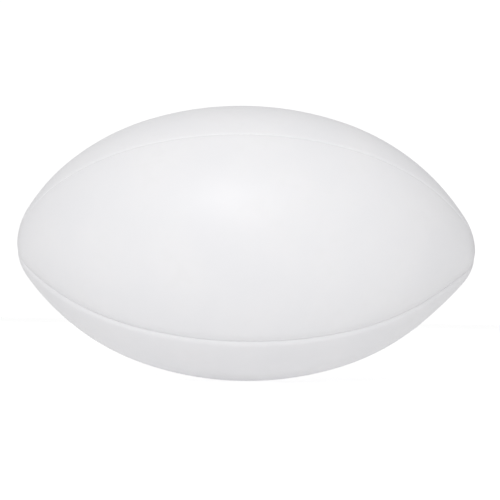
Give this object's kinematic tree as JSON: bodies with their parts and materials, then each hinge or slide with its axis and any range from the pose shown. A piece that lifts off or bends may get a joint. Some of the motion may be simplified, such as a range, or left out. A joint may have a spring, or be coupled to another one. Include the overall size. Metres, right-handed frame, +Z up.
{
  "type": "rugby ball",
  "caption": "Inflatable oval ball with stitched panels, smooth white cover, cloth plies, rubber bladder and a needle valve with a removable insert.",
  "frame": {"origin": "centre of the ball, halfway between its tips", "axes": "+X along the long axis towards one tip, +Y out through the valve in the middle of the back panel, +Z up through the middle of the top panel; the seams lie in the two planes that hold X and stand at 45 degrees to Y and Z"},
  "size_m": [0.2896, 0.1745, 0.1746],
  "materials": {
    "cover_white": "satin",
    "cotton_ply": "matte",
    "polyester_ply": "matte",
    "waxed_thread": "satin",
    "bladder_rubber": "matte",
    "patch_rubber": "matte",
    "valve_rubber": "satin",
    "plug_rubber": "satin",
    "reinforcement_canvas": "matte"
  },
  "bodies": {
    "ball": {"front_panel_cover": "cover_white", "top_panel_cover": "cover_white", "back_panel_cover": "cover_white", "bottom_panel_cover": "cover_white", "front_panel_cotton_ply": "cotton_ply", "top_panel_cotton_ply": "cotton_ply", "back_panel_cotton_ply": "cotton_ply", "bottom_panel_cotton_ply": "cotton_ply", "front_panel_polyester_ply": "polyester_ply", "top_panel_polyester_ply": "polyester_ply", "back_panel_polyester_ply": "polyester_ply", "bottom_panel_polyester_ply": "polyester_ply", "seam_thread_top_front": "waxed_thread", "seam_thread_bottom_front": "waxed_thread", "seam_thread_bottom_back": "waxed_thread", "seam_thread_top_back": "waxed_thread", "bladder": "bladder_rubber", "bladder_valve_patch": "patch_rubber", "valve_housing": "valve_rubber", "valve_hole_reinforcement": "reinforcement_canvas"},
    "valve_plug": {"valve_plug": "plug_rubber"}
  },
  "joints": [
    {"name": "valve_plug_pull", "type": "slide", "parent": "ball", "child": "valve_plug", "axis": [0, 1, 0], "range_m": [0, 0.025]}
  ]
}
